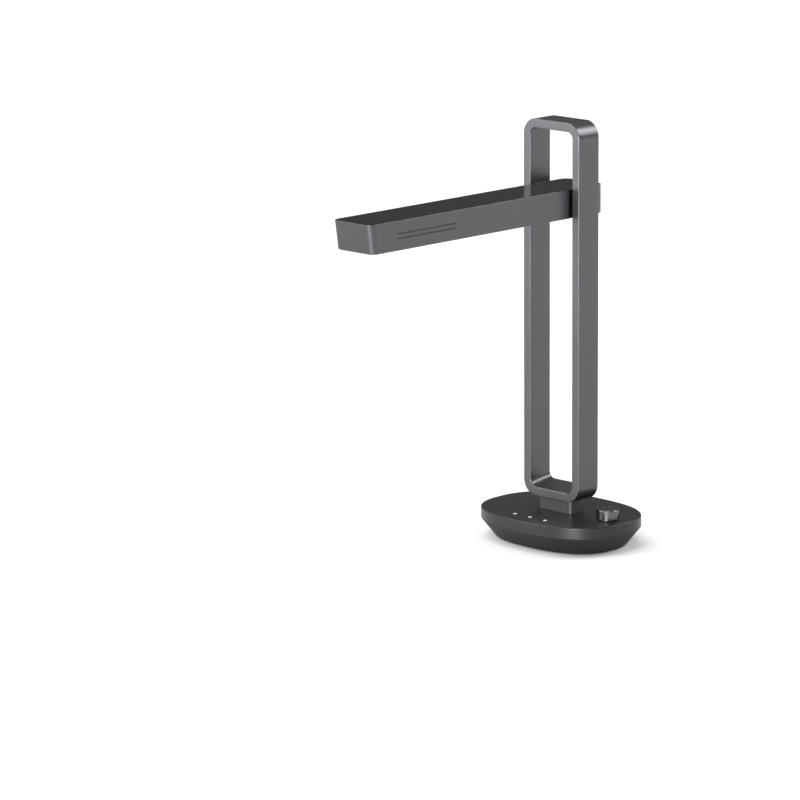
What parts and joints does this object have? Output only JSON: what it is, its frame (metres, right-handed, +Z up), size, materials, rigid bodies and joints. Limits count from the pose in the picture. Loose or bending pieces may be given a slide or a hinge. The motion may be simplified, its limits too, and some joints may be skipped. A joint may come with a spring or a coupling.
{
  "type": "document camera",
  "caption": "Desktop document camera: a camera and lamp arm that folds down into the window of an upright flat-tube loop on a weighted oval base with a turn-and-press knob.",
  "frame": {"origin": "centre of the non-slip pad's underside, on the desk", "axes": "+Z up along the column; -Y is the way the arm points, over the page; +X is the side with the knob"},
  "size_m": [0.1535, 0.3196, 0.385],
  "materials": {
    "column_metal": "satin anodised dark grey",
    "arm_metal": "satin anodised dark grey",
    "panel_gloss": "gloss black",
    "base_plastic": "fine matte texture, dark grey",
    "knob_metal": "turned and anodised dark grey",
    "pad_rubber": "matte silicone",
    "cast_iron": "as cast, painted",
    "steel": "zinc plated",
    "screw_steel": "blackened",
    "board_green": "solder mask",
    "chip_black": "moulded package",
    "black_plastic": "fine matte",
    "washer_plastic": "smooth",
    "socket_metal": "bright nickel",
    "bezel_metal": "anodised, turned",
    "cable_sleeve": "smooth sleeve",
    "aluminium_plain": "bare",
    "clear_keys": "translucent",
    "diffuser_white": "milky, frosted",
    "lamp_chip": "phosphor",
    "lens_glass": "coated"
  },
  "bodies": {
    "root": {"non_slip_pad": "pad_rubber", "base_bottom_shell": "base_plastic", "base_screws": "screw_steel", "ballast_plate": "cast_iron", "base_top_cover": "base_plastic", "base_board": "board_green", "board_chips": "chip_black", "cable_connector": "black_plastic", "usb_socket": "socket_metal", "power_socket": "black_plastic", "touch_board": "board_green", "key_lights": "clear_keys", "board_screws": "screw_steel", "foot_plate": "steel", "neck_block": "base_plastic", "column_loop": "column_metal", "column_nuts": "steel", "column_bolts": "screw_steel", "hinge_anchor_left": "steel", "hinge_anchor_right": "steel", "hinge_stub_left": "steel", "hinge_stub_right": "steel", "hinge_screws": "screw_steel", "column_cable": "cable_sleeve", "encoder_body": "black_plastic", "encoder_board": "board_green", "encoder_nut": "steel", "press_spring": "steel"},
    "plunger": {"press_plunger": "black_plastic"},
    "knob": {"knob_shaft": "steel", "knob_core": "black_plastic", "knob_cap": "knob_metal"},
    "arm": {"arm_housing": "arm_metal", "arm_top_panel": "panel_gloss", "hinge_washer_left": "washer_plastic", "hinge_washer_right": "washer_plastic", "arm_chassis": "steel", "friction_clip_left": "steel", "friction_clip_right": "steel", "clip_screws": "screw_steel", "chassis_screws": "screw_steel", "control_board": "board_green", "processor_chip": "chip_black", "heat_sink": "aluminium_plain", "arm_connector": "black_plastic", "arm_cable": "cable_sleeve", "vent_mesh": "black_plastic", "lamp_diffuser": "diffuser_white", "lamp_board": "aluminium_plain", "lamp_lights": "lamp_chip", "camera_bezel": "bezel_metal", "cover_glass": "lens_glass", "lens_barrel": "black_plastic", "front_lens": "lens_glass", "camera_board": "board_green", "arm_board_screws": "screw_steel"}
  },
  "joints": [
    {"name": "arm_fold", "type": "hinge", "parent": "root", "child": "arm", "pos_m": [0, 0, 0.3127], "axis": [1, 0, 0], "range_deg": [0, 90]},
    {"name": "knob_press", "type": "slide", "parent": "root", "child": "plunger", "axis": [0, 0, -1], "range_m": [0, 0.0008], "stiffness_N_per_m": 1500, "springref_m": -0.0006, "deforming": ["press_spring"]},
    {"name": "knob_turn", "type": "hinge", "parent": "plunger", "child": "knob", "pos_m": [0.057, 0.0006, 0.03], "axis": [0, 0, 1], "continuous": true}
  ]
}
